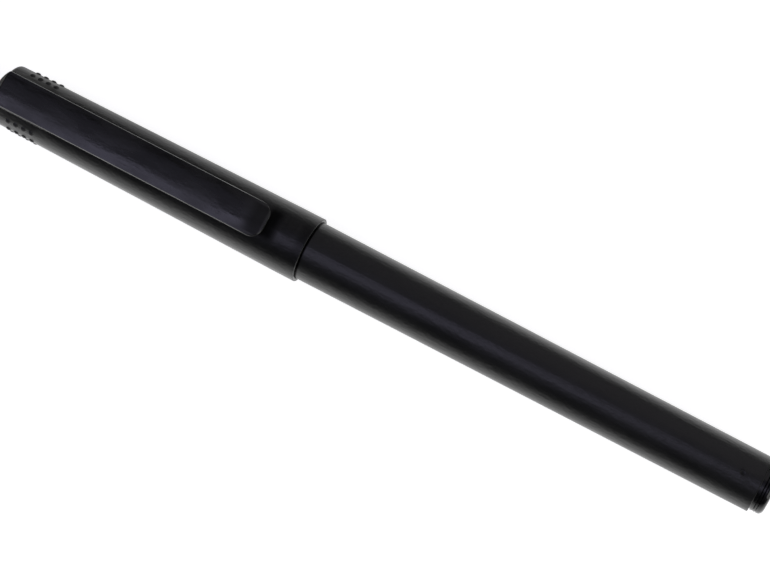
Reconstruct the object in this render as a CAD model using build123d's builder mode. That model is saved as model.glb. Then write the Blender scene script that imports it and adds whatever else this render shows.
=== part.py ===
from build123d import *
import math
import os

# A capped fineliner pen that lies along X, with its cap toward -X and its pocket clip facing up.
# The origin is on the surface that the pen lies on, under the middle of its length.
# All sizes are in millimetres.

# Barrel
barrel_front_diameter = 10.0  # where the barrel enters the cap
barrel_taper = 0.75  # how much thinner the barrel is at its rear end
barrel_exposed_length = 80.26  # from the cap's mouth to the end plug
barrel_tuck = 2.0  # length of barrel that the cap's mouth covers
barrel_wall = 0.75  # at the thin rear end
barrel_rim_round = 0.12
rib_count = 4
rib_height = 0.45
rib_width = 0.8
rib_root = 0.3  # depth of a rib's foot inside the barrel's wall
gate_mark_diameter = 1.0
gate_mark_depth = 0.05
gate_mark_setback = 3.3  # from the barrel's rear end

# End plug
plug_exposed_length = 2.2
plug_step = 0.42  # how far the plug stands in from the barrel's rear edge
plug_neck_depth = 0.12
plug_neck_width = 0.2
plug_spigot_length = 7.0
plug_wall = 0.9
plug_end_wall = 1.2
plug_edge_round = 0.8
plug_ring_count = 2
plug_ring_pitch = 0.45
plug_ring_width = 0.2  # across the groove at the plug's surface
plug_ring_depth = 0.1

# Grip section and nib
section_spigot_length = 9.0
grip_step = 0.75  # how far the grip stands in from the barrel's surface
grip_length = 16.0
bead_setback = 3.0  # from the barrel's front end
bead_width = 1.6
bead_height = 0.25
bead_ramp = 0.4
cone_length = 9.0
seal_land_diameter = 5.2
seal_land_length = 3.5
nose_rear_diameter = 4.4
nose_front_diameter = 2.6
nose_length = 5.0
feed_bore_diameter = 3.2
sleeve_diameter = 1.5
sleeve_tip_diameter = 1.2
sleeve_tip_length = 1.0
sleeve_exposed_length = 3.2
sleeve_seat_length = 6.0
nib_diameter = 0.9
nib_point_diameter = 0.4
nib_exposed_length = 0.9
nib_dip = 8.0  # how far the nib reaches into the ink reservoir

# Ink reservoir
film_thickness = 0.1

# Cap
cap_length = 57.54
cap_taper = 0.85  # how much thinner the cap is at its top
cap_land_length = 4.0  # straight stretch at the mouth, which the pen lies on
cap_lip_wall = 0.5
cap_lip_round = 0.12
cap_edge_round = 0.7
cap_end_wall = 2.4
cap_side_wall = 1.3  # around the hollow above the inner cap
dot_rows = 3  # on each side of the clip
dots_per_row = 4
dot_diameter = 1.05
dot_height = 0.22
dot_pitch = 1.49
dot_first_setback = 3.5  # from the cap's top
dot_first_angle = 56.0  # degrees from the clip, around the pen's axis
dot_row_angle = 24.0  # degrees between rows

# Inner cap
inner_cap_wall = 0.8
inner_cap_end_wall = 1.0
inner_cap_flange_length = 3.0
inner_cap_room = 0.35  # radial room around the seal land
seal_lip_length = 1.2
seal_lip_setback = 0.5  # from the front of the cone
nib_room = 2.0  # free length in front of the nib

# Clip
clip_width = 6.0
clip_tip_setback = 6.94  # from the cap's mouth
clip_crown_radius = 11.0
clip_arm_thickness = 0.95
clip_arm_gap = 0.75  # step from the root's underside up to the arm's
clip_root_length = 10.0
clip_root_ramp = 1.5
clip_heel_bulge = 1.1
clip_heel_radius = 0.6
clip_heel_height = 0.75
clip_heel_bevel = 1.3
clip_tip_radius = 2.1
clip_tip_bulge = 0.2
clip_tip_slope = 2.4
clip_tip_drop = 0.45
clip_edge_round = 0.25
saddle_rise = 0.12  # height of the clip's seat over the cap's top
saddle_relief = 0.15  # drop of the seat behind the hinge
knuckle_radius = 0.6
knuckle_depth = 0.7  # from the seat down to the hinge axis
knuckle_neck_width = 0.8
knuckle_end_wall = 1.2
ridge_setback = 4.0  # from the clip's tip
ridge_top_width = 1.8
ridge_bottom_width = 0.6
ridge_length = 3.0

# Clearances
press_gap = 0.02  # between pieces that are pressed together
running_gap = 0.05  # between round faces that slide or turn in each other
mouth_gap = 0.09  # between the cap's lip and the barrel
tuck_gap = 0.4  # in front of the barrel, inside the cap's mouth
rib_gap = 0.05  # between the ribs and the reservoir
seat_gap = 0.05  # under the clip's root
slot_gap = 0.12  # beside the clip's hinge neck
ridge_gap = 0.25  # between the clip's grip ridge and the cap

# Places along the pen
total_length = cap_length + barrel_exposed_length + plug_exposed_length
cap_top_x = -total_length / 2
cap_mouth_x = cap_top_x + cap_length
barrel_front_x = cap_mouth_x - barrel_tuck
barrel_rear_x = cap_mouth_x + barrel_exposed_length
tail_x = barrel_rear_x + plug_exposed_length
section_rear_x = barrel_front_x + section_spigot_length
plug_front_x = barrel_rear_x - plug_spigot_length
grip_front_x = barrel_front_x - grip_length
cone_front_x = grip_front_x - cone_length
land_front_x = cone_front_x - seal_land_length
nose_front_x = land_front_x - nose_length
sleeve_front_x = nose_front_x - sleeve_exposed_length
sleeve_rear_x = nose_front_x + sleeve_seat_length
nib_tip_x = sleeve_front_x - nib_exposed_length
nib_rear_x = section_rear_x + nib_dip
inner_cap_hollow_x = nib_tip_x - nib_room
inner_cap_top_x = inner_cap_hollow_x - inner_cap_end_wall
inner_cap_mouth_x = cone_front_x - seal_lip_setback
cap_land_x = cap_mouth_x - cap_land_length
clip_tip_x = cap_mouth_x - clip_tip_setback
clip_root_x = cap_top_x + clip_root_length
hinge_x = cap_top_x + cap_end_wall / 2

# Radii about the pen's axis
barrel_front_radius = barrel_front_diameter / 2
barrel_rear_radius = barrel_front_radius - barrel_taper / 2
barrel_slope = (barrel_rear_radius - barrel_front_radius) / barrel_exposed_length
barrel_end_radius = barrel_front_radius - barrel_slope * barrel_tuck
bore_radius = barrel_rear_radius - barrel_wall
spigot_radius = bore_radius - press_gap
rib_tip_radius = bore_radius - rib_height
film_radius = rib_tip_radius - rib_gap
film_bore_radius = film_radius - film_thickness
core_radius = film_bore_radius - press_gap
plug_radius = barrel_rear_radius - plug_step
plug_neck_radius = plug_radius - plug_neck_depth
plug_hollow_radius = spigot_radius - plug_wall
grip_radius = barrel_front_radius - grip_step
bead_radius = grip_radius + bead_height
land_radius = seal_land_diameter / 2
feed_bore_radius = feed_bore_diameter / 2
sleeve_radius = sleeve_diameter / 2
nib_radius = nib_diameter / 2
cap_bore_radius = bead_radius + running_gap
cap_counterbore_radius = barrel_end_radius + mouth_gap
cap_mouth_radius = cap_counterbore_radius + cap_lip_wall
cap_top_radius = cap_mouth_radius - cap_taper / 2
cap_hollow_radius = cap_top_radius - cap_side_wall
inner_cap_bore_radius = land_radius + inner_cap_room
inner_cap_radius = inner_cap_bore_radius + inner_cap_wall

# Heights above the pen's axis
saddle_top = cap_top_radius + saddle_rise
root_under = saddle_top + seat_gap
arm_under = root_under + clip_arm_gap
clip_top = arm_under + clip_arm_thickness
hinge_height = saddle_top - knuckle_depth

# The pen lies on the widest part of its cap
axis_height = cap_mouth_radius
pen_axis = Axis((0, 0, axis_height), (1, 0, 0))
side_plane = Plane(origin=(0, 0, axis_height), x_dir=(1, 0, 0), z_dir=(0, -1, 0))


def cross_plane(x):
    """The plane across the pen at x, with its local y pointing up from the pen's axis."""
    return Plane(origin=(x, 0, axis_height), x_dir=(0, 1, 0), z_dir=(1, 0, 0))


def cap_radius_at(x):
    """The cap's outer radius at x, on its tapered length."""
    return cap_top_radius + (x - cap_top_x) * (cap_mouth_radius - cap_top_radius) / (cap_land_x - cap_top_x)


def heel_line(end_x):
    """The clip's outline seen from above, from one long side at end_x round the heel to the other."""
    corner_x = cap_top_x + clip_heel_bulge
    Line((end_x, clip_width / 2), (corner_x, clip_width / 2))
    ThreePointArc((corner_x, clip_width / 2), (cap_top_x, 0), (corner_x, -clip_width / 2))
    Line((corner_x, -clip_width / 2), (end_x, -clip_width / 2))


def dome_radius(diameter, height):
    """The radius of the ball whose cap has this diameter and height."""
    return ((diameter / 2) ** 2 + height**2) / (2 * height)


# Barrel: a tapered tube with ribs that hold the reservoir off its wall
with BuildPart() as barrel:
    with BuildSketch(side_plane):
        with BuildLine():
            Polyline(
                (barrel_front_x, bore_radius),
                (barrel_front_x, barrel_end_radius),
                (barrel_rear_x, barrel_rear_radius),
                (barrel_rear_x, bore_radius),
                close=True,
            )
        make_face()
    revolve(axis=pen_axis)
    rear_rim = barrel.faces().sort_by(Axis.X)[-1].outer_wire().edges()
    fillet(rear_rim, radius=barrel_rim_round)
    with BuildSketch(cross_plane(section_rear_x)):
        with PolarLocations(rib_tip_radius, rib_count):
            Rectangle(rib_height + rib_root, rib_width, align=(Align.MIN, Align.CENTER))
    extrude(amount=plug_front_x - section_rear_x)
    gate_mark_x = barrel_rear_x - gate_mark_setback
    gate_mark_surface = barrel_rear_radius - barrel_slope * gate_mark_setback
    gate_mark_ball = dome_radius(gate_mark_diameter, gate_mark_depth)
    with Locations((gate_mark_x, 0, axis_height + gate_mark_surface + gate_mark_ball - gate_mark_depth)):
        Sphere(gate_mark_ball, mode=Mode.SUBTRACT)

# End plug: a hollow stopper with a rounded button that shows behind the barrel
with BuildPart() as end_plug:
    with BuildSketch(side_plane):
        with BuildLine():
            Polyline(
                (plug_front_x, plug_hollow_radius),
                (plug_front_x, spigot_radius),
                (barrel_rear_x, spigot_radius),
                (barrel_rear_x, plug_neck_radius),
                (barrel_rear_x + plug_neck_width, plug_neck_radius),
                (barrel_rear_x + plug_neck_width, plug_radius),
                (tail_x, plug_radius),
                (tail_x, 0),
                (tail_x - plug_end_wall, 0),
                (tail_x - plug_end_wall, plug_hollow_radius),
                close=True,
            )
        make_face()
    revolve(axis=pen_axis)
    tail_edge = end_plug.faces().sort_by(Axis.X)[-1].outer_wire().edges()
    fillet(tail_edge, radius=plug_edge_round)
    for ring in range(plug_ring_count):
        ring_x = barrel_rear_x + plug_neck_width + (ring + 1) * plug_ring_pitch
        with BuildSketch(side_plane):
            with BuildLine():
                Polyline(
                    (ring_x - plug_ring_width, plug_radius + plug_ring_depth),
                    (ring_x, plug_radius - plug_ring_depth),
                    (ring_x + plug_ring_width, plug_radius + plug_ring_depth),
                    close=True,
                )
            make_face()
        revolve(axis=pen_axis, mode=Mode.SUBTRACT)

# Grip section: spigot in the barrel, grip with a guide bead for the cap, cone, seal land and nose
bead_rear_x = barrel_front_x - bead_setback
bead_front_x = bead_rear_x - bead_width
with BuildPart() as grip_section:
    with BuildSketch(side_plane):
        with BuildLine():
            Polyline(
                (section_rear_x, feed_bore_radius),
                (section_rear_x, spigot_radius),
                (barrel_front_x, spigot_radius),
                (barrel_front_x, grip_radius),
                (bead_rear_x, grip_radius),
                (bead_rear_x - bead_ramp, bead_radius),
                (bead_front_x + bead_ramp, bead_radius),
                (bead_front_x, grip_radius),
                (grip_front_x, grip_radius),
                (cone_front_x, land_radius),
                (land_front_x, land_radius),
                (land_front_x, nose_rear_diameter / 2),
                (nose_front_x, nose_front_diameter / 2),
                (nose_front_x, sleeve_radius + press_gap),
                (cone_front_x, sleeve_radius + press_gap),
                (cone_front_x, feed_bore_radius),
                close=True,
            )
        make_face()
    revolve(axis=pen_axis)

# Nib sleeve: a thin steel tube, drawn in at its front
with BuildPart() as nib_sleeve:
    with BuildSketch(side_plane):
        with BuildLine():
            Polyline(
                (sleeve_rear_x, nib_radius + press_gap),
                (sleeve_rear_x, sleeve_radius),
                (sleeve_front_x + sleeve_tip_length, sleeve_radius),
                (sleeve_front_x, sleeve_tip_diameter / 2),
                (sleeve_front_x, nib_radius + press_gap),
                close=True,
            )
        make_face()
    revolve(axis=pen_axis)

# Nib: a long writing rod with a rounded point
with BuildPart() as nib:
    with BuildSketch(side_plane):
        with BuildLine():
            Polyline(
                (nib_tip_x, 0),
                (nib_tip_x, nib_point_diameter / 2),
                (sleeve_front_x, nib_radius),
                (nib_rear_x, nib_radius),
                (nib_rear_x, 0),
                close=True,
            )
        make_face()
    revolve(axis=pen_axis)
    point_edge = nib.faces().sort_by(Axis.X)[0].outer_wire().edges()
    fillet(point_edge, radius=nib_point_diameter / 4)

# Ink reservoir: a fibre rod with the hole that the nib makes in its front end
with BuildPart() as ink_reservoir:
    with BuildSketch(side_plane):
        with BuildLine():
            Polyline(
                (section_rear_x, nib_radius + press_gap),
                (section_rear_x, core_radius),
                (plug_front_x, core_radius),
                (plug_front_x, 0),
                (nib_rear_x, 0),
                (nib_rear_x, nib_radius + press_gap),
                close=True,
            )
        make_face()
    revolve(axis=pen_axis)

# Reservoir film: the sleeve wrapped round the fibre rod
with BuildPart() as reservoir_film:
    with BuildSketch(side_plane):
        with BuildLine():
            Polyline(
                (section_rear_x, film_bore_radius),
                (section_rear_x, film_radius),
                (plug_front_x, film_radius),
                (plug_front_x, film_bore_radius),
                close=True,
            )
        make_face()
    revolve(axis=pen_axis)

# Cap shell: a tapered cup with a seat for the clip and raised grip dots
with BuildPart() as cap_shell:
    with BuildSketch(side_plane):
        with BuildLine():
            Polyline(
                (cap_top_x, 0),
                (cap_top_x, cap_top_radius),
                (cap_land_x, cap_mouth_radius),
                (cap_mouth_x, cap_mouth_radius),
                (cap_mouth_x, 0),
                close=True,
            )
        make_face()
    revolve(axis=pen_axis)
    cap_ends = cap_shell.faces().sort_by(Axis.X)
    fillet(cap_ends[0].outer_wire().edges(), radius=cap_edge_round)
    cap_ends = cap_shell.faces().sort_by(Axis.X)
    fillet(cap_ends[-1].outer_wire().edges(), radius=cap_lip_round)
    with BuildSketch(Plane.XY.offset(axis_height)) as saddle_outline:
        with BuildLine():
            heel_line(clip_root_x)
            Line((clip_root_x, -clip_width / 2), (clip_root_x, clip_width / 2))
        make_face()
        fillet(saddle_outline.vertices().group_by(Axis.X)[0], radius=clip_heel_radius)
    extrude(amount=saddle_top)
    with BuildSketch(side_plane):
        with BuildLine():
            Polyline(
                (cap_top_x, saddle_top - saddle_relief),
                (cap_top_x, saddle_top),
                (hinge_x, saddle_top),
                (hinge_x, saddle_top - saddle_relief),
                close=True,
            )
        make_face()
    extrude(amount=clip_width, both=True, mode=Mode.SUBTRACT)
    with BuildSketch(side_plane):
        with BuildLine():
            Polyline(
                (cap_mouth_x, 0),
                (cap_mouth_x, cap_counterbore_radius),
                (barrel_front_x - tuck_gap, cap_counterbore_radius),
                (barrel_front_x - tuck_gap, cap_bore_radius),
                (inner_cap_top_x, cap_bore_radius),
                (inner_cap_top_x, cap_hollow_radius),
                (cap_top_x + cap_end_wall, cap_hollow_radius),
                (cap_top_x + cap_end_wall, 0),
                close=True,
            )
        make_face()
    revolve(axis=pen_axis, mode=Mode.SUBTRACT)
    with BuildSketch(side_plane):
        with Locations((hinge_x, hinge_height)):
            Circle(knuckle_radius + running_gap)
            Rectangle(
                knuckle_neck_width + 2 * slot_gap,
                2 * knuckle_depth,
                align=(Align.CENTER, Align.MIN),
            )
    extrude(amount=clip_width / 2 - knuckle_end_wall + seat_gap, both=True, mode=Mode.SUBTRACT)
    dot_ball = dome_radius(dot_diameter, dot_height)
    for row in range(dot_rows):
        for side in (1, -1):
            angle = math.radians(dot_first_angle + row * dot_row_angle) * side
            for dot in range(dots_per_row):
                dot_x = cap_top_x + dot_first_setback + dot * dot_pitch
                dot_centre = cap_radius_at(dot_x) + dot_height - dot_ball
                dot_y = dot_centre * math.sin(angle)
                dot_z = axis_height + dot_centre * math.cos(angle)
                with Locations((dot_x, dot_y, dot_z)):
                    Sphere(dot_ball)

# Inner cap: a liner pressed into the cap, with a lip that seals on the grip section's land
with BuildPart() as inner_cap:
    with BuildSketch(side_plane):
        with BuildLine():
            Polyline(
                (inner_cap_top_x, 0),
                (inner_cap_top_x, cap_bore_radius - press_gap),
                (inner_cap_top_x + inner_cap_flange_length, cap_bore_radius - press_gap),
                (inner_cap_top_x + inner_cap_flange_length, inner_cap_radius),
                (inner_cap_mouth_x, inner_cap_radius),
                (inner_cap_mouth_x, land_radius + running_gap),
                (inner_cap_mouth_x - seal_lip_length, land_radius + running_gap),
                (inner_cap_mouth_x - seal_lip_length, inner_cap_bore_radius),
                (inner_cap_hollow_x, inner_cap_bore_radius),
                (inner_cap_hollow_x, 0),
                close=True,
            )
        make_face()
    revolve(axis=pen_axis)

# Clip: a crowned blade on a solid root, which turns in the cap on a round knuckle
with BuildPart() as clip:
    with BuildSketch(Plane.XY.offset(axis_height + root_under)) as clip_outline:
        with BuildLine():
            heel_line(clip_tip_x - clip_tip_bulge)
            ThreePointArc(
                (clip_tip_x - clip_tip_bulge, -clip_width / 2),
                (clip_tip_x, 0),
                (clip_tip_x - clip_tip_bulge, clip_width / 2),
            )
        make_face()
        fillet(clip_outline.vertices().group_by(Axis.X)[-1], radius=clip_tip_radius)
        fillet(clip_outline.vertices().group_by(Axis.X)[0], radius=clip_heel_radius)
    extrude(amount=clip_top - root_under)
    with BuildSketch(cross_plane(cap_top_x)):
        with Locations((0, clip_top - clip_crown_radius)):
            Circle(clip_crown_radius)
    extrude(amount=cap_length, mode=Mode.INTERSECT)
    crown_edges = clip.faces().filter_by(GeomType.CYLINDER).sort_by(Axis.Z)[-1].edges()
    fillet(crown_edges, radius=clip_edge_round)
    # The bevel over the heel, the slope of the tip and the gap under the arm
    with BuildSketch(side_plane):
        with BuildLine():
            Polyline(
                (cap_top_x, root_under + clip_heel_height),
                (cap_top_x, clip_top),
                (cap_top_x + clip_heel_bevel, clip_top),
                close=True,
            )
        make_face()
        with BuildLine():
            Polyline(
                (clip_tip_x - clip_tip_slope, clip_top),
                (clip_tip_x, clip_top),
                (clip_tip_x, clip_top - clip_tip_drop),
                close=True,
            )
        make_face()
        with BuildLine():
            Polyline(
                (clip_root_x, root_under),
                (clip_root_x + clip_root_ramp, arm_under),
                (clip_tip_x, arm_under),
                (clip_tip_x, root_under),
                close=True,
            )
        make_face()
    extrude(amount=clip_width, both=True, mode=Mode.SUBTRACT)
    with BuildSketch(side_plane):
        with Locations((hinge_x, hinge_height)):
            Circle(knuckle_radius)
            Rectangle(
                knuckle_neck_width,
                root_under - hinge_height + clip_heel_height / 2,
                align=(Align.CENTER, Align.MIN),
            )
    extrude(amount=clip_width / 2 - knuckle_end_wall, both=True)
    ridge_x = clip_tip_x - ridge_setback
    ridge_under = cap_radius_at(ridge_x) + ridge_gap
    with BuildSketch(side_plane):
        with BuildLine():
            Polyline(
                (ridge_x - ridge_top_width / 2, arm_under + clip_arm_thickness / 2),
                (ridge_x - ridge_top_width / 2, arm_under),
                (ridge_x - ridge_bottom_width / 2, ridge_under),
                (ridge_x + ridge_bottom_width / 2, ridge_under),
                (ridge_x + ridge_top_width / 2, arm_under),
                (ridge_x + ridge_top_width / 2, arm_under + clip_arm_thickness / 2),
                close=True,
            )
        make_face()
    extrude(amount=ridge_length / 2, both=True)

pieces = {
    "barrel": barrel,
    "end_plug": end_plug,
    "grip_section": grip_section,
    "nib_sleeve": nib_sleeve,
    "nib": nib,
    "ink_reservoir": ink_reservoir,
    "reservoir_film": reservoir_film,
    "cap_shell": cap_shell,
    "inner_cap": inner_cap,
    "clip": clip,
}

os.makedirs("parts", exist_ok=True)
for name, piece in pieces.items():
    piece.part.label = name
    export_step(piece.part, f"parts/{name}.step")

print("hinge axis at", round(hinge_x, 3), round(axis_height + hinge_height, 3))
print("cap clears the nib after", round(cap_mouth_x - nib_tip_x, 3))
print("pen axis height", round(axis_height, 4), "clip top", round(axis_height + clip_top, 4))
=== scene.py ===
# %% [markdown]
# # A capped fineliner pen
# The imported model holds every solid of the pen at its real size, in metres, with +Z up and the cap toward -X.
# This lesson gives those solids their finishes, models the clip as one piece, and sets up a camera and a
# small studio.

# %% Load the frame
import math

import bmesh
import bpy
from mathutils import Matrix, Vector


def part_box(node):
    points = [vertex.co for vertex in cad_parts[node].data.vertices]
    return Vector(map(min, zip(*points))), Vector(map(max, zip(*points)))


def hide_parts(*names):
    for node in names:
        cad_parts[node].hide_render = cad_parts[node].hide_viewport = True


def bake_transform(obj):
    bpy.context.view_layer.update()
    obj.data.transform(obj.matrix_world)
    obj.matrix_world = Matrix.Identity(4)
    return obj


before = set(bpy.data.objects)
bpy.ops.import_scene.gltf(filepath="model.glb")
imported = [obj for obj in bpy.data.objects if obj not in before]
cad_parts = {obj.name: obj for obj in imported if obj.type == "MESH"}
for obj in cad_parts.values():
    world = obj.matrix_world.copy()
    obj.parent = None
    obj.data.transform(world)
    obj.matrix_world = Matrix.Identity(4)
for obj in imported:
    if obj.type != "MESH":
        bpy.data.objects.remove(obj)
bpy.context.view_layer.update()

MM = 0.001

# %% [markdown]
# ## Camera
# The photograph looks down on the pen from above its rear half, and the pen runs downhill to the right. A camera
# could be turned by hand until it fits. Here its place and its aim are given, and the slope of the pen in the
# picture gives the roll, so the picture's right and up directions follow from three values.

# %% Camera
camera_place = Vector((59.3, -27.97, 350.5)) * MM
camera_aim = Vector((1.3, 0.08, 5.6)) * MM
camera_roll = math.radians(27.46)  # slope of the pen in the picture
camera_lens = 102.6

scene = bpy.context.scene
camera_data = bpy.data.cameras.new("camera")
camera_data.lens = camera_lens
camera = bpy.data.objects.new("camera", camera_data)
scene.collection.objects.link(camera)
bpy.context.scene.camera = camera

look = (camera_aim - camera_place).normalized()
along_pen = Vector((1, 0, 0))
along_pen = (along_pen - along_pen.dot(look) * look).normalized()
across_pen = (-look).cross(along_pen)
right = math.cos(camera_roll) * along_pen + math.sin(camera_roll) * across_pen
up = math.cos(camera_roll) * across_pen - math.sin(camera_roll) * along_pen
turn = Matrix((right, up, -look)).transposed().to_4x4()
camera.matrix_world = Matrix.Translation(camera_place) @ turn
print("camera distance in mm:", round((camera_aim - camera_place).length / MM, 1))

# %% [markdown]
# ## Shader maths
# A material is a net of nodes. Linking each one by hand hides the idea behind it, so one small class wraps an
# output socket: arithmetic on it adds Math nodes, and its node method adds any other kind of node.

# %% Shader maths
MIX_A, MIX_B, MIX_RESULT = 6, 7, 2  # a Mix node's sockets for colours


class Wire:
    """An output socket of a node tree. Arithmetic on it adds Math nodes to the same tree."""

    def __init__(self, socket):
        self.socket = socket

    def node(self, kind, settings=None, inputs=None, output=0):
        """Any node: its settings are set first, then its inputs are set or linked."""
        made = self.socket.id_data.nodes.new(kind)
        for name, value in (settings or {}).items():
            setattr(made, name, value)
        for key, value in (inputs or {}).items():
            plug_in(made, key, value)
        return Wire(made.outputs[output])

    def math(self, operation, *others):
        """A Math node on this value and the others."""
        return self.node("ShaderNodeMath", {"operation": operation}, dict(enumerate((self, *others))))

    def __add__(self, other):
        return self.math("ADD", other)

    def __sub__(self, other):
        return self.math("SUBTRACT", other)

    def __rsub__(self, other):
        return self.node("ShaderNodeMath", {"operation": "SUBTRACT"}, {0: other, 1: self})

    def __mul__(self, other):
        return self.math("MULTIPLY", other)

    __radd__ = __add__
    __rmul__ = __mul__

    def ramp(self, start, end, low=0.0, high=1.0):
        """This value brought smoothly from the range start to end into low to high."""
        ends = {"Value": self, "From Min": start, "From Max": end, "To Min": low, "To Max": high}
        return self.node("ShaderNodeMapRange", {"interpolation_type": "SMOOTHSTEP"}, ends)

    def fade(self, start, end, high=1.0):
        """high where this value is below start, falling smoothly to 0 at end."""
        return self.ramp(start, end, high, 0.0)

    def band(self, start, full, last, end):
        """1 where this value is from full to last, falling smoothly to 0 at start and at end."""
        return self.ramp(start, full) * self.fade(last, end)

    def between(self, first, second):
        """The colour from first to second as this value goes from 0 to 1."""
        values = {0: self, MIX_A: first, MIX_B: second}
        return self.node("ShaderNodeMix", {"data_type": "RGBA"}, values, MIX_RESULT)

    def axis(self, name):
        """One of this vector's X, Y and Z as a value."""
        return self.node("ShaderNodeSeparateXYZ", None, {0: self}, "XYZ".index(name))

    def stretched(self, x, y, z):
        """This vector with each axis multiplied, so a pattern on it is drawn out where the factor is small."""
        return self.node("ShaderNodeVectorMath", {"operation": "MULTIPLY"}, {0: self, 1: (x, y, z)})

    def noise(self, size, detail=2.0, roughness=0.5):
        """Soft noise from 0 to 1 on this vector, with lumps about size metres wide."""
        values = {"Vector": self, "Scale": 1.0 / size, "Detail": detail, "Roughness": roughness}
        return self.node("ShaderNodeTexNoise", None, values)

    def bump(self, height, base=None):
        """A normal tilted by this height field, in which 1 stands for height metres, on top of a base normal."""
        values = {"Height": self, "Distance": height}
        if base is not None:
            values["Normal"] = base
        return self.node("ShaderNodeBump", None, values)


# %% Finish helpers
def plug_in(node, key, value):
    """Links a wire to one of a node's inputs, or sets the input to a plain value."""
    if isinstance(value, Wire):
        node.id_data.links.new(value.socket, node.inputs[key])
    else:
        node.inputs[key].default_value = value


def new_finish(name):
    """A new material, its main shader, and the place on the piece as a wire."""
    material = bpy.data.materials.new(name)
    material.use_nodes = True
    nodes = material.node_tree.nodes
    place = Wire(nodes.new("ShaderNodeTexCoord").outputs["Object"])
    return material, nodes["Principled BSDF"], place


def grey(level):
    """A colour with equal red, green and blue."""
    return (level, level, level, 1.0)


# %% [markdown]
# ## Floor and light
# The photograph has a pure white ground. The floor is a large white disc that the camera sees as plain white, with
# a share of real shading close to the pen so that it keeps a faint shadow. Black plastic gets its pale edges from
# such a floor, because a glossy edge mirrors what is below the horizon. In the photograph those edges fade quickly,
# so in reflections the floor is brightest close to the pen and greyer further out. The world behind it is white for
# the camera alone.

# %% Floor disc
floor_radius = 3.0
floor_sides = 96

bpy.ops.object.select_all(action="DESELECT")
bpy.ops.mesh.primitive_circle_add(vertices=floor_sides, radius=floor_radius, fill_type="NGON")
floor = bpy.context.object
floor.name = "floor"
print("floor radius in m:", floor_radius)

# %% Floor finish
floor_white = grey(0.9)
floor_seen = grey(2.8)  # white, with its share of shading
floor_near = grey(1.47)
floor_flagged = grey(0.9)  # on the far side of the cap, where the photograph is dimmer
floor_far = grey(0.6)
flag_start, flag_end = -60 * MM, 10 * MM  # along the pen
dim_start, dim_end = 8 * MM, 60 * MM  # away from the pen's axis
shade_near, shade_far = 0.7, 0.1  # shares of real shading
shade_start, shade_end = 0.12, 0.4  # away from the pen's middle

floor_finish, floor_shader, floor_place = new_finish("white floor")
floor_nodes = floor_finish.node_tree.nodes
floor_nodes.remove(floor_shader)
rays = floor_nodes.new("ShaderNodeLightPath")
by_camera = Wire(rays.outputs["Is Camera Ray"])
seen = by_camera + Wire(rays.outputs["Is Glossy Ray"]) + Wire(rays.outputs["Is Transmission Ray"])
seen = seen.math("MINIMUM", 1.0)
floor_x, floor_y = floor_place.axis("X"), floor_place.axis("Y")
behind_cap = floor_y.ramp(-MM, MM) * floor_x.fade(flag_start, flag_end)
near_pen = behind_cap.between(floor_near, floor_flagged)
mirrored = floor_y.math("ABSOLUTE").ramp(dim_start, dim_end).between(near_pen, floor_far)
matt = seen.node("ShaderNodeBsdfDiffuse", None, {"Color": floor_white})
glow = seen.node("ShaderNodeEmission", None, {"Color": by_camera.between(mirrored, floor_seen)})
from_middle = floor_place.node("ShaderNodeVectorMath", {"operation": "LENGTH"}, {0: floor_place}, 1)
shade = by_camera * from_middle.fade(shade_start, shade_end, shade_near - shade_far) + shade_far
pale = seen.node("ShaderNodeMixShader", None, {0: shade, 1: glow, 2: matt})
surface = seen.node("ShaderNodeMixShader", None, {0: seen, 1: matt, 2: pale})
plug_in(floor_nodes["Material Output"], "Surface", surface)
floor.data.materials.append(floor_finish)
print("floor finish:", len(floor_nodes), "nodes")

# %% World
scene.view_settings.view_transform = "Standard"
world_grey, world_white = (0.05, 0.05, 0.055, 1.0), grey(1.0)

world = bpy.data.worlds.new("studio")
world.use_nodes = True
world_nodes = world.node_tree.nodes
world_seen = Wire(world_nodes.new("ShaderNodeLightPath").outputs["Is Camera Ray"])
plug_in(world_nodes["Background"], "Color", world_seen.between(world_grey, world_white))
scene.world = world
print("world colour in reflections:", world_grey[:3])

# %% [markdown]
# On satin black a lamp shows as a blurred reflection, so its shape matters more than its power. The main light is a
# long, cool strip above the pen that leans toward the cap: it gives the barrel one narrow streak, and it lights one
# side of the clip's crown. Cloth round the strip glows dimly. A wide panel on the far side lifts that flank. The last
# panel stands beyond the pen's rear end. A pen mirrors little of it toward this camera, so it can be strong: it
# lights the floor, and it gives the views from the cap's end a highlight.


# %% Lamps
def soft_panel(name, direction, distance, size, radiance, colour):
    """A lamp in that direction from the pen's middle, that shows as that radiance in a mirror. The first of its two
    sizes runs along the pen."""
    lamp = bpy.data.lights.new(name, "AREA")
    lamp.shape = "RECTANGLE"
    lamp.size, lamp.size_y = size
    lamp.energy = radiance * math.pi * size[0] * size[1]
    lamp.color = colour
    panel = bpy.data.objects.new(name, lamp)
    toward = Vector(direction).normalized()
    side = (Vector((1, 0, 0)) - toward.x * toward).normalized()
    turned = Matrix((side, toward.cross(side), toward)).transposed().to_4x4()
    panel.matrix_world = Matrix.Translation(toward * distance) @ turned
    scene.collection.objects.link(panel)
    print(name, "power in W:", round(lamp.energy, 2))


cool_white, rosy_white, plain_white = (0.76, 0.73, 1.0), (1.0, 0.95, 1.03), (1.0, 1.0, 1.0)
soft_panel("key panel", (-0.43, -0.275, 1.0), 0.8, size=(0.86, 0.24), radiance=1.12, colour=cool_white)
soft_panel("key glow", (-0.43, -0.2, 1.0), 0.81, size=(0.95, 0.95), radiance=0.24, colour=cool_white)
soft_panel("far side panel", (0.25, 1.15, 1.0), 1.0, size=(0.9, 1.05), radiance=0.29, colour=rosy_white)
soft_panel("rear panel", (0.85, -0.15, 0.6), 1.0, size=(0.9, 0.9), radiance=1.8, colour=plain_white)

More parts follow.
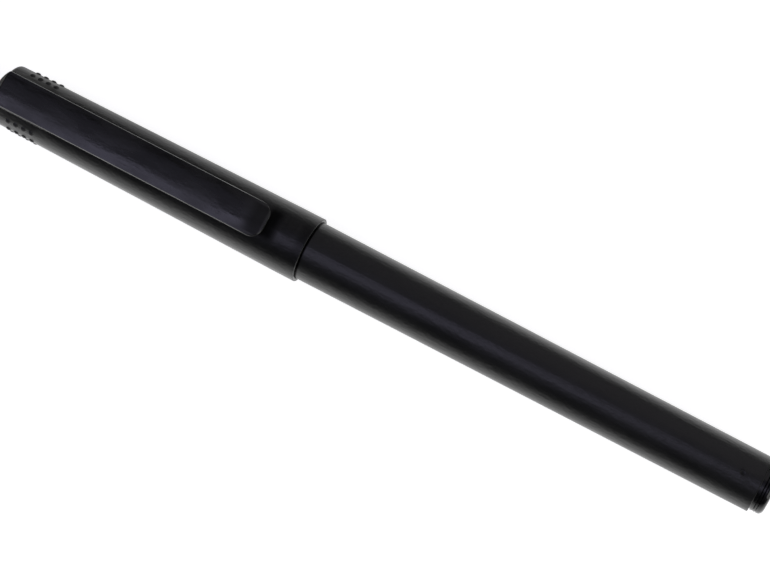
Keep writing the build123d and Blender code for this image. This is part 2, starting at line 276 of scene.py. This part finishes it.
# %% [markdown]
# ## Clip
# The pocket clip is one moulded blade: a solid root that sits on the cap, and a crowned arm that springs. It could
# be cut from a block with Booleans, but then its edge would need a bevel that runs into the crown. Here the outline
# is traced once and pulled up to a flat plate, and an inset that also rises bevels its edge all round. The plate is
# then cut across and along, and its points are lowered to the crown, the bevel of the heel and the slope of the tip.

# %% Clip sizes
clip_low, clip_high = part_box("clip")
heel_x, tip_x = clip_low[0], clip_high[0]
half_width = clip_high[1]
crown_z = clip_high[2]
root_under = crown_z - 1.7 * MM
arm_under = crown_z - 0.95 * MM
root_end_x = heel_x + 10.0 * MM
root_ramp = 1.5 * MM
heel_bulge = 1.1 * MM
heel_corner = 0.6 * MM
heel_bevel = 1.3 * MM
tip_corner = 2.1 * MM
tip_bulge = 0.2 * MM
tip_slope = 3.0 * MM
print("clip length and width in mm:", round((tip_x - heel_x) / MM, 2), round(2 * half_width / MM, 2))


# %% Clip outline
def round_corner(before, corner, after, radius, steps=8):
    """Points of an arc that rounds the corner between two straight lines."""
    before, corner, after = Vector(before), Vector(corner), Vector(after)
    back, ahead = (before - corner).normalized(), (after - corner).normalized()
    half_angle = back.angle(ahead) / 2
    centre = corner + (back + ahead).normalized() * radius / math.sin(half_angle)
    start = corner + back * radius / math.tan(half_angle) - centre
    sweep = start.rotation_difference(corner + ahead * radius / math.tan(half_angle) - centre)
    still = sweep.copy()
    still.identity()
    return [centre + still.slerp(sweep, step / steps) @ start for step in range(steps + 1)]


def heel_arc(steps=12):
    """Points round the heel, from the +Y side to the -Y side."""
    radius = (half_width**2 + heel_bulge**2) / (2 * heel_bulge)
    sides = [half_width * (1 - 2 * step / steps) for step in range(steps + 1)]
    return [Vector((heel_x + radius - math.sqrt(radius**2 - y**2), y, arm_under)) for y in sides]


heel = heel_arc()
mid_near = Vector((root_end_x, -half_width, arm_under))
mid_far = Vector((root_end_x, half_width, arm_under))
tip_near = Vector((tip_x - tip_bulge, -half_width, arm_under))
tip_far = Vector((tip_x - tip_bulge, half_width, arm_under))
tip_middle = Vector((tip_x, 0, arm_under))
plan_points = [
    *round_corner(mid_far, heel[0], heel[1], heel_corner, steps=4),
    *heel[1:-1],
    *round_corner(heel[-2], heel[-1], mid_near, heel_corner, steps=4),
    *round_corner(mid_near, tip_near, tip_middle, tip_corner),
    *round_corner(tip_middle, tip_far, mid_far, tip_corner),
]
print("clip outline:", len(plan_points), "points")

# %% [markdown]
# One point is extruded along the outline, the loop is filled, and the face is pulled up. The first inset steps in
# and up, which makes the steep bevel that shows as a pale line. The second keeps the broad face even up to it.


# %% Clip plate
def traced_plate(name, points, pull):
    """A plate: one vertex is extruded from point to point, the loop is filled, and the face is pulled."""
    bpy.ops.object.select_all(action="DESELECT")
    bpy.ops.mesh.primitive_plane_add(size=MM)
    plate = bpy.context.object
    plate.name = name
    bpy.ops.object.mode_set(mode="EDIT")
    bpy.ops.mesh.merge(type="CENTER")
    bpy.ops.transform.translate(value=points[0])
    for start, end in zip(points, points[1:]):
        bpy.ops.mesh.extrude_vertices_move(TRANSFORM_OT_translate={"value": Vector(end) - Vector(start)})
    bpy.ops.mesh.select_all(action="SELECT")
    bpy.ops.mesh.edge_face_add()
    net = bmesh.from_edit_mesh(plate.data)
    net.normal_update()
    if net.faces[:][0].normal.dot(Vector(pull)) < 0:
        bpy.ops.mesh.flip_normals()
    bpy.ops.mesh.extrude_region_move(TRANSFORM_OT_translate={"value": pull})
    return plate


def end_plate():
    """Turns the faces of the plate in edit mode outward, and leaves edit mode."""
    bpy.ops.mesh.select_all(action="SELECT")
    bpy.ops.mesh.normals_make_consistent(inside=False)
    bpy.ops.object.mode_set(mode="OBJECT")


edge_in, edge_up = 0.1 * MM, 0.24 * MM  # the bevel all round the top
edge_soft = 0.12 * MM
clip = traced_plate("clip_blade", plan_points, (0, 0, crown_z - arm_under - edge_up))
bpy.ops.mesh.inset(thickness=edge_in, depth=edge_up)
bpy.ops.mesh.inset(thickness=edge_soft)
end_plate()
print("clip plate:", len(clip.data.polygons), "faces")

# %% [markdown]
# A plate that is to curve and to bend needs cuts where it does. Bisect makes them: close together over the heel,
# the tip and the stretch that springs, and a few along the blade for the crown.

# %% Clip cuts
bend_start = root_end_x
bend_cuts, heel_cuts, tip_cuts, crown_cuts = 30, 3, 10, 16


def even_steps(start, end, count):
    """Places from start to end, both included."""
    return [start + (end - start) * k / count for k in range(count + 1)]


cut_places = [
    *even_steps(bend_start, tip_x - 2 * tip_slope, bend_cuts),
    *even_steps(heel_x + heel_bevel / 4, heel_x + heel_bevel, heel_cuts),
    *even_steps(tip_x - 1.5 * tip_slope, tip_x - tip_slope / 4, tip_cuts),
    root_end_x + root_ramp,
]
cuts = [((x, 0, 0), (1, 0, 0)) for x in cut_places]
cuts += [((0, y, 0), (0, 1, 0)) for y in even_steps(-half_width, half_width, crown_cuts)[1:-1]]
bpy.ops.object.mode_set(mode="EDIT")
for cut_place, cut_normal in cuts:
    bpy.ops.mesh.select_all(action="SELECT")
    bpy.ops.mesh.bisect(plane_co=cut_place, plane_no=cut_normal)
bpy.ops.object.mode_set(mode="OBJECT")
print("clip after", len(cuts), "cuts:", len(clip.data.polygons), "faces")

# %% Clip shape
crown_flat = 0.4 * MM  # half the width of the level middle
crown_soft = 2.0 * MM  # from the middle to where the sloping sides are straight
crown_slope = math.tan(math.radians(10.0))
tip_drop = 0.48 * MM
tip_soft = 0.3  # rounds the start of the tip's slope, as a share of its length
heel_face = 0.75 * MM  # height of the upright face under the heel's bevel
heel_drop = crown_z - root_under - heel_face
bottom = 0.001  # points below this share of the plate's height are its underside


def underside(x):
    """Height of the clip's underside: the root, a short ramp, then the arm."""
    climb = min(max((x - root_end_x) / root_ramp, 0.0), 1.0)
    return root_under + climb * (arm_under - root_under)


def lowered(x, y):
    """How far the crown and the slope of the tip lower the top of the arm."""
    curved = min(max(abs(y) - crown_flat, 0.0), crown_soft - crown_flat)
    straight = max(abs(y) - crown_soft, 0.0)
    crown = crown_slope * (curved**2 / (2 * (crown_soft - crown_flat)) + straight)
    along = (x - tip_x + tip_slope) / tip_slope
    slope = (math.sqrt(along**2 + tip_soft**2) + along) / 2
    return crown + tip_drop * slope


net = bmesh.new()
net.from_mesh(clip.data)
for vert in net.verts:
    x, y, z = vert.co
    share = (z - arm_under) / (crown_z - arm_under)
    if share < bottom:
        vert.co.z = underside(x)
        continue
    vert.co.z -= share * lowered(x, y)
    heel_share = max((heel_x + heel_bevel - x) / heel_bevel, 0.0)
    vert.co.z -= heel_share * heel_drop * (vert.co.z - root_under) / (crown_z - root_under)
net.to_mesh(clip.data)
net.free()
print("clip heights in mm:", [round(v / MM, 2) for v in (root_under, arm_under, crown_z)])

# %% [markdown]
# The small ridge under the arm, which grips the cloth of a pocket, is a second plate that is joined on. Last, the
# normals are weighted by area so that the broad face stays even.


# %% Clip ridge and normals
def apply_modifier(piece, kind, **settings):
    """Adds a modifier with these settings and applies it."""
    bpy.ops.object.select_all(action="DESELECT")
    piece.select_set(True)
    bpy.context.view_layer.objects.active = piece
    modifier = piece.modifiers.new(kind.lower(), kind)
    for name, value in settings.items():
        setattr(modifier, name, value)
    bpy.ops.object.modifier_apply(modifier=modifier.name)


ridge_x = tip_x - 4.0 * MM
ridge_half = 0.9 * MM
ridge_foot = 0.3 * MM
ridge_drop = 0.55 * MM
ridge_profile = [
    (-ridge_half, ridge_foot),
    (-ridge_half, 0.0),
    (-ridge_foot, -ridge_drop),
    (ridge_foot, -ridge_drop),
    (ridge_half, 0.0),
    (ridge_half, ridge_foot),
]
ridge_points = [(ridge_x + x, -half_width / 2, arm_under + z) for x, z in ridge_profile]
smooth_limit = math.radians(40)  # sharper edges stay sharp

ridge = traced_plate("clip_ridge", ridge_points, (0, half_width, 0))
end_plate()
apply_modifier(clip, "BOOLEAN", object=ridge, operation="UNION", solver="EXACT")
bpy.data.objects.remove(ridge)
bpy.ops.object.shade_smooth_by_angle(angle=smooth_limit)
apply_modifier(clip, "WEIGHTED_NORMAL", keep_sharp=True)
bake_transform(clip)
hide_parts("clip")
print("clip:", len(clip.data.polygons), "faces")

# %% [markdown]
# ## Satin black plastic
# Barrel, cap, clip and grip section are moulded in black plastic with a satin skin. Real mould skins are never
# even: there is a fine grain that breaks up the highlight, faint marks drawn along the pen as it left the mould, a
# slow waviness where the plastic shrank, and soft smudges from hands. Grain, marks and waves are shallow bumps, and
# the smudges change the roughness and a little of the colour. A paler grey along an edge is a painted highlight.
#
# Two masks follow. Wear makes a place matt. The other makes a place soot-black by raising Metallic there, because
# a metal with a black base colour mirrors nothing. Mostly it is painted shade: the shadow of the clip's tip, the
# shade on the tip's slope and a line where the cap's lip ends. It also darkens the moulding gate and the rear rim.

# %% Satin black plastic
grain_size, mark_size, wave_size, smudge_size = 0.45 * MM, 0.25 * MM, 1.6 * MM, 3.0 * MM
mark_height = 0.3  # as a share of the grain's
mark_rough = 0.03  # roughness from the faintest mark to the deepest
# paler grey along an edge: a painted highlight on the cap's lip and the barrel's rear rim
edge_highlight_reach, edge_highlight_grey = 0.4 * MM, grey(0.004)
satin_ior = 1.55


def satin_black(name, roughness, greys, skin, smudged=0.02, highlight_edge=None, wear=None, blackening=None):
    """Black moulded plastic: mean roughness, two base greys, the heights of the skin's waves and grain in metres and
    how much smudges change the roughness. An edge at highlight_edge along X is paler: a painted highlight. At a
    place on the piece, wear gives a change of roughness and blackening the share of soot-black, mostly painted shade."""
    material, shader, place = new_finish(name)
    grain = place.stretched(0.5, 1, 1).noise(grain_size, 3.0)
    marks = place.stretched(0.02, 1, 1).noise(mark_size)
    wave = place.stretched(0.4, 1, 1).noise(wave_size)
    smudge = place.stretched(0.4, 1, 1).noise(smudge_size, 3.0)
    colour = smudge.ramp(0.35, 0.65).between(grey(greys[0]), grey(greys[1]))
    # painted highlight along that edge
    if highlight_edge is not None:
        near = (place.axis("X") - highlight_edge).math("ABSOLUTE").fade(0.0, edge_highlight_reach)
        colour = (near * grain.ramp(0.3, 0.7, 0.4, 1.0)).between(colour, edge_highlight_grey)
    plug_in(shader, "Base Color", colour)
    rough = smudge.ramp(0.3, 0.7, roughness - smudged, roughness + smudged)
    rough = rough + marks * mark_rough - mark_rough / 2
    if wear is not None:
        rough = rough + wear(place) * grain.ramp(0.2, 0.8, 0.8, 1.0)
    plug_in(shader, "Roughness", rough)
    wave_height, grain_height = skin
    fine = (grain + marks * mark_height).bump(grain_height)
    plug_in(shader, "Normal", wave.bump(wave_height, fine))
    # soot-black through Metallic, mostly painted shade
    if blackening is not None:
        plug_in(shader, "Metallic", blackening(place))
    shader.inputs["IOR"].default_value = satin_ior
    return material


def dress(node, material):
    """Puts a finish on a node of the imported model."""
    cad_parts[node].material_slots[0].material = material
    print(material.name, "on", node)


# %% Wear and painted shadow on the cap
cap_low, cap_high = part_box("cap_shell")
barrel_low, barrel_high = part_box("barrel")
axis_z = (barrel_low[2] + barrel_high[2]) / 2
cap_mouth, barrel_rear = cap_high[0], barrel_high[0]
cap_radius = cap_high[1]
cap_taper = 0.42 * MM  # what the radius loses from the mouth to the closed end
cap_matt = 0.31  # roughness that wear adds
# shares of soot-black that paint the shadow of the clip's tip on the cap
shade_faint, shade_deep, tip_shadow_dark = 0.2, 0.45, 0.85  # shares of soot-black
print("axis height and cap radius in mm:", round(axis_z / MM, 2), round(cap_radius / MM, 2))


def proud_of_cap(place):
    """1 on the grip dots, which stand above the cap's cone, and 0 on the cone."""
    y, z = place.axis("Y"), place.axis("Z") - axis_z
    cone = place.axis("X").ramp(cap_low[0], cap_mouth, cap_radius - cap_taper, cap_radius)
    return ((y * y + z * z).math("SQRT") - cone).ramp(0.05 * MM, 0.12 * MM)


def beyond_tip(place, near, far):
    """1 on top of the cap from the clip's tip to near beyond it, falling to 0 at far."""
    x, y, z = (place.axis(name) for name in "XYZ")
    patch = x.band(tip_x - 1.5 * MM, tip_x, tip_x + near, tip_x + far)
    aside = (y - 0.5 * MM).math("ABSOLUTE")
    return patch * aside.fade(1.8 * MM, 3.8 * MM) * z.ramp(axis_z, axis_z + 2.0 * MM)


def cap_wear(place):
    """The grip dots and the patch that cloth rubs beyond the clip's tip are matt."""
    return proud_of_cap(place).math("MAXIMUM", beyond_tip(place, 0.8 * MM, 2.8 * MM)) * cap_matt


def cap_tip_shadow(place):
    """Painted shadow of the clip's tip on the cap, deep just beyond the tip, with a fainter painted shade from there
    to the cap's mouth that deepens close to the mouth.
    """
    toward_mouth = place.axis("X").ramp(cap_mouth - 2.2 * MM, cap_mouth - 0.8 * MM, shade_faint, shade_deep)
    toward_mouth = toward_mouth * beyond_tip(place, 7.0 * MM, 9.0 * MM)
    return toward_mouth.math("MAXIMUM", beyond_tip(place, 0.7 * MM, 3.0 * MM) * tip_shadow_dark)


# %% Wear, painted shade and the gate mark on the clip and the barrel
# the soot-black on the slope of the clip's tip is painted shade
clip_matt, slope_shade = 0.2, 0.5  # roughness that wear adds, and share of soot-black
gate_x = barrel_rear - 3.3 * MM
gate_dark, rim_dark = 0.4, 0.7
print("moulding gate at x in mm:", round(gate_x / MM, 2))


def clip_wear(place):
    """The clip's tip, which cloth rubs most, is matt."""
    return place.axis("X").ramp(tip_x - 5.5 * MM, tip_x - 2.0 * MM) * clip_matt


def clip_slope_shade(place):
    """Painted shade on the slope of the clip's tip, clear of its edge."""
    x, y = place.axis("X"), place.axis("Y").math("ABSOLUTE")
    slope = x.band(tip_x - 4.0 * MM, tip_x - 2.0 * MM, tip_x - 0.7 * MM, tip_x - 0.35 * MM)
    return slope * y.fade(half_width - 0.7 * MM, half_width - 0.4 * MM, slope_shade)


def barrel_shade_and_gate_mark(place):
    """A painted shadow line where the cap's lip ends, the dark spot of the moulding gate, and a darker band at the
    barrel's rear rim.
    """
    x, y = place.axis("X"), place.axis("Y")
    # painted shadow where the cap's lip ends
    lip_shadow = x.band(cap_mouth - 0.6 * MM, cap_mouth - 0.3 * MM, cap_mouth + 0.15 * MM, cap_mouth + 0.42 * MM)
    from_gate = x - gate_x
    spot = (from_gate * from_gate + y * y).math("SQRT").fade(0.1 * MM, 0.85 * MM, gate_dark)
    spot = spot * place.axis("Z").ramp(axis_z, axis_z + MM)
    rim = x.ramp(barrel_rear - 0.22 * MM, barrel_rear - 0.08 * MM, 0.0, rim_dark)
    return lip_shadow.math("MAXIMUM", spot).math("MAXIMUM", rim)


# %% Barrel, cap, clip and section
barrel_greys, cap_greys, clip_greys = (0.0015, 0.0035), (0.0008, 0.002), (0.0015, 0.004)
plain_skin, clip_skin = (40e-6, 40e-6), (60e-6, 20e-6)  # waves and grain

barrel_finish = satin_black(
    "satin black barrel", 0.36, barrel_greys, plain_skin, highlight_edge=barrel_rear, blackening=barrel_shade_and_gate_mark
)
cap_finish = satin_black(
    "satin black cap", 0.34, cap_greys, plain_skin, highlight_edge=cap_mouth, wear=cap_wear, blackening=cap_tip_shadow
)
clip_finish = satin_black(
    "satin black clip", 0.27, clip_greys, clip_skin, smudged=0.09, wear=clip_wear, blackening=clip_slope_shade
)
section_finish = satin_black("satin black section", 0.35, barrel_greys, plain_skin)
dress("barrel", barrel_finish)
dress("cap_shell", cap_finish)
dress("grip_section", section_finish)
clip.data.materials.append(clip_finish)
print(clip_finish.name, "on", clip.name)

# %% [markdown]
# The end plug comes from a polished mould, so it is much glossier, with only hairline scratches.

# %% Gloss black plastic
plug_black, plug_dusty = (0.0006, 0.0006, 0.0008, 1.0), grey(0.003)
gloss_ior = 1.52

gloss, gloss_shader, gloss_place = new_finish("gloss black plug")
scratches = gloss_place.stretched(1, 0.1, 0.1).noise(0.15 * MM, 3.0)
dust = gloss_place.noise(0.6 * MM, 4.0)
plug_in(gloss_shader, "Base Color", dust.ramp(0.4, 0.7).between(plug_black, plug_dusty))
plug_in(gloss_shader, "Roughness", dust.ramp(0.3, 0.7, 0.12, 0.22) + scratches * 0.05)
plug_in(gloss_shader, "Normal", scratches.bump(0.4e-6))
gloss_shader.inputs["IOR"].default_value = gloss_ior
dress("end_plug", gloss)

# %% [markdown]
# ## The pieces inside
# These show when the cap is off or the pen is taken apart. The sleeve is a drawn steel tube, so its streaks run
# along it. The nib is a thin plastic rod, darkest where ink reaches its point. The reservoir is a bundle of fibres
# soaked with ink, in a clear wrap. The liner is unpigmented plastic, milky and stained with ink at its lip.

# %% Steel sleeve
steel_bare, steel_stained = (0.62, 0.61, 0.59, 1.0), (0.45, 0.45, 0.46, 1.0)

steel, steel_shader, steel_place = new_finish("drawn steel")
streaks = steel_place.stretched(0.04, 1, 1).noise(0.08 * MM, 3.0)
stain = steel_place.noise(0.8 * MM, 3.0)
plug_in(steel_shader, "Base Color", stain.ramp(0.4, 0.7).between(steel_bare, steel_stained))
plug_in(steel_shader, "Roughness", streaks.ramp(0.3, 0.7, 0.2, 0.36))
plug_in(steel_shader, "Normal", streaks.bump(0.8e-6))
steel_shader.inputs["Metallic"].default_value = 1.0
dress("nib_sleeve", steel)

# %% Nib
rod_clean, rod_inked = (0.06, 0.06, 0.07, 1.0), (0.008, 0.008, 0.012, 1.0)
nib_low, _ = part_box("nib")
nib_point = nib_low[0]

rod, rod_shader, rod_place = new_finish("inked nib")
soaked = rod_place.axis("X").ramp(nib_point, nib_point + 6 * MM, 1.0, 0.4)
blots = rod_place.noise(0.5 * MM, 3.0)
drawn = rod_place.stretched(0.05, 1, 1).noise(0.1 * MM)
plug_in(rod_shader, "Base Color", (soaked * blots.ramp(0.2, 0.6)).between(rod_clean, rod_inked))
plug_in(rod_shader, "Roughness", blots.ramp(0.3, 0.7, 0.35, 0.6))
plug_in(rod_shader, "Normal", drawn.bump(2e-6))
dress("nib", rod)

# %% Fibre reservoir
fibre_inked, fibre_pale = (0.015, 0.015, 0.02, 1.0), (0.09, 0.09, 0.1, 1.0)

fibre, fibre_shader, fibre_place = new_finish("inked fibre")
strands = fibre_place.stretched(0.015, 1, 1).noise(0.12 * MM, 3.0, 0.6)
wet = fibre_place.stretched(0.3, 1, 1).noise(4.0 * MM)
dry = (wet * 0.6 + strands * 0.4).ramp(0.3, 0.7)
plug_in(fibre_shader, "Base Color", dry.between(fibre_inked, fibre_pale))
plug_in(fibre_shader, "Roughness", wet.ramp(0.3, 0.7, 0.6, 0.95))
plug_in(fibre_shader, "Normal", strands.bump(30e-6))
dress("ink_reservoir", fibre)

# %% Film round the reservoir
film_grey, film_pale = (0.7, 0.7, 0.72, 1.0), grey(0.82)

film, film_shader, film_place = new_finish("clear film")
creases = film_place.stretched(0.1, 1, 1).noise(1.2 * MM, 3.0)
plug_in(film_shader, "Base Color", creases.ramp(0.3, 0.7).between(film_grey, film_pale))
plug_in(film_shader, "Roughness", creases.ramp(0.3, 0.7, 0.1, 0.25))
plug_in(film_shader, "Alpha", creases.ramp(0.3, 0.7, 0.25, 0.4))
plug_in(film_shader, "Normal", creases.bump(15e-6))
dress("reservoir_film", film)

# %% Milky liner
liner_dull, liner_bright = (0.66, 0.66, 0.63, 1.0), (0.78, 0.78, 0.76, 1.0)
liner_ink = (0.03, 0.03, 0.045, 1.0)
_, liner_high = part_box("inner_cap")
liner_lip = liner_high[0]

liner, liner_shader, liner_place = new_finish("milky liner")
flow = liner_place.stretched(0.15, 1, 1).noise(2.0 * MM, 3.0)
at_lip = liner_place.axis("X").ramp(liner_lip - 3 * MM, liner_lip)
inked = at_lip * liner_place.noise(1.5 * MM, 4.0).ramp(0.45, 0.65)
milky = flow.ramp(0.3, 0.7).between(liner_dull, liner_bright)
plug_in(liner_shader, "Base Color", inked.between(milky, liner_ink))
plug_in(liner_shader, "Roughness", flow.ramp(0.3, 0.7, 0.38, 0.55))
plug_in(liner_shader, "Normal", flow.bump(6e-6))
dress("inner_cap", liner)
